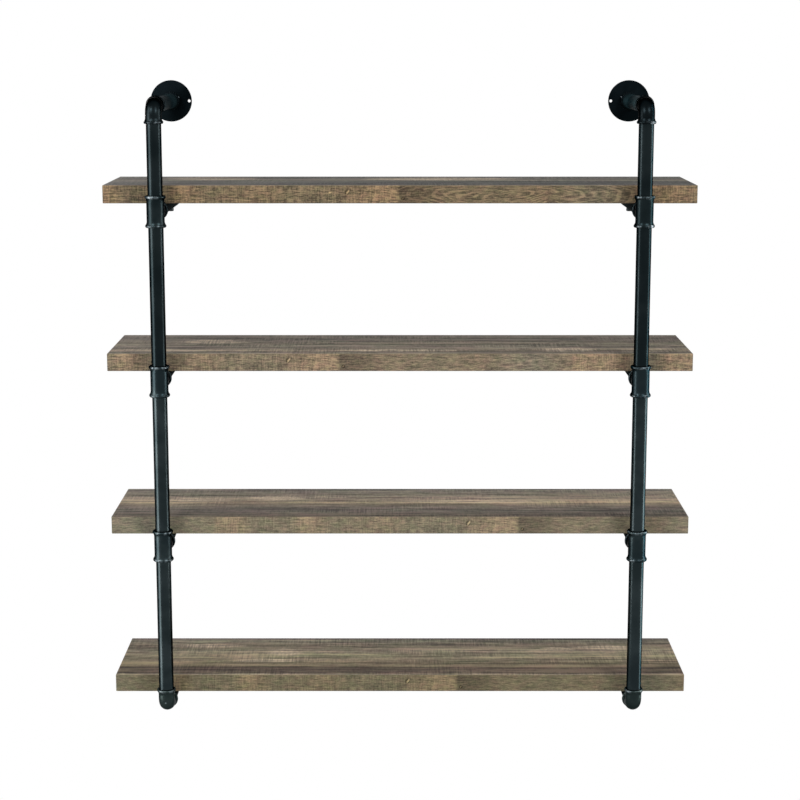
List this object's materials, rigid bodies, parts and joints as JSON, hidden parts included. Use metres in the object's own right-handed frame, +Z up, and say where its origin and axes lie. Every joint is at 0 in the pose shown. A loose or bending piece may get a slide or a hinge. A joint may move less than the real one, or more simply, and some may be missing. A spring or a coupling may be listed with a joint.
{
  "type": "wall bookshelf",
  "caption": "Wall shelf with wood boards carried by two standing pipes that hang from round wall flanges, with tees and elbows and arms under the boards.",
  "frame": {"origin": "in the wall plane, midway between the two wall flanges and at the height of their centres", "axes": "+X along the boards to the viewer's right, +Y into the wall, +Z up"},
  "size_m": [1, 0.2496, 1.0897],
  "materials": {
    "board_wood": "weathered oak look, matt, with sawn strips and dark grain",
    "pipe_coat": "satin black powder coat",
    "fitting_coat": "satin black powder coat over cast iron",
    "flange_coat": "satin black powder coat",
    "plug_plastic": "matt black moulded plastic",
    "screw_steel": "black oxide, slightly shiny"
  },
  "bodies": {
    "root": {"shelf_board_1": "board_wood", "shelf_board_2": "board_wood", "shelf_board_3": "board_wood", "shelf_board_4": "board_wood", "left_wall_flange": "flange_coat", "left_top_arm": "pipe_coat", "left_top_elbow": "fitting_coat", "left_post_pipe_1": "pipe_coat", "left_tee_1": "fitting_coat", "left_arm_1": "pipe_coat", "left_arm_plug_1": "plug_plastic", "left_post_pipe_2": "pipe_coat", "left_tee_2": "fitting_coat", "left_arm_2": "pipe_coat", "left_arm_plug_2": "plug_plastic", "left_post_pipe_3": "pipe_coat", "left_tee_3": "fitting_coat", "left_arm_3": "pipe_coat", "left_arm_plug_3": "plug_plastic", "left_post_pipe_4": "pipe_coat", "left_arm_4": "pipe_coat", "left_arm_plug_4": "plug_plastic", "left_bottom_elbow": "fitting_coat", "right_wall_flange": "flange_coat", "right_top_arm": "pipe_coat", "right_top_elbow": "fitting_coat", "right_post_pipe_1": "pipe_coat", "right_tee_1": "fitting_coat", "right_arm_1": "pipe_coat", "right_arm_plug_1": "plug_plastic", "right_post_pipe_2": "pipe_coat", "right_tee_2": "fitting_coat", "right_arm_2": "pipe_coat", "right_arm_plug_2": "plug_plastic", "right_post_pipe_3": "pipe_coat", "right_tee_3": "fitting_coat", "right_arm_3": "pipe_coat", "right_arm_plug_3": "plug_plastic", "right_post_pipe_4": "pipe_coat", "right_arm_4": "pipe_coat", "right_arm_plug_4": "plug_plastic", "right_bottom_elbow": "fitting_coat", "board_screws": "screw_steel", "flange_grub_screws": "screw_steel"}
  },
  "joints": []
}
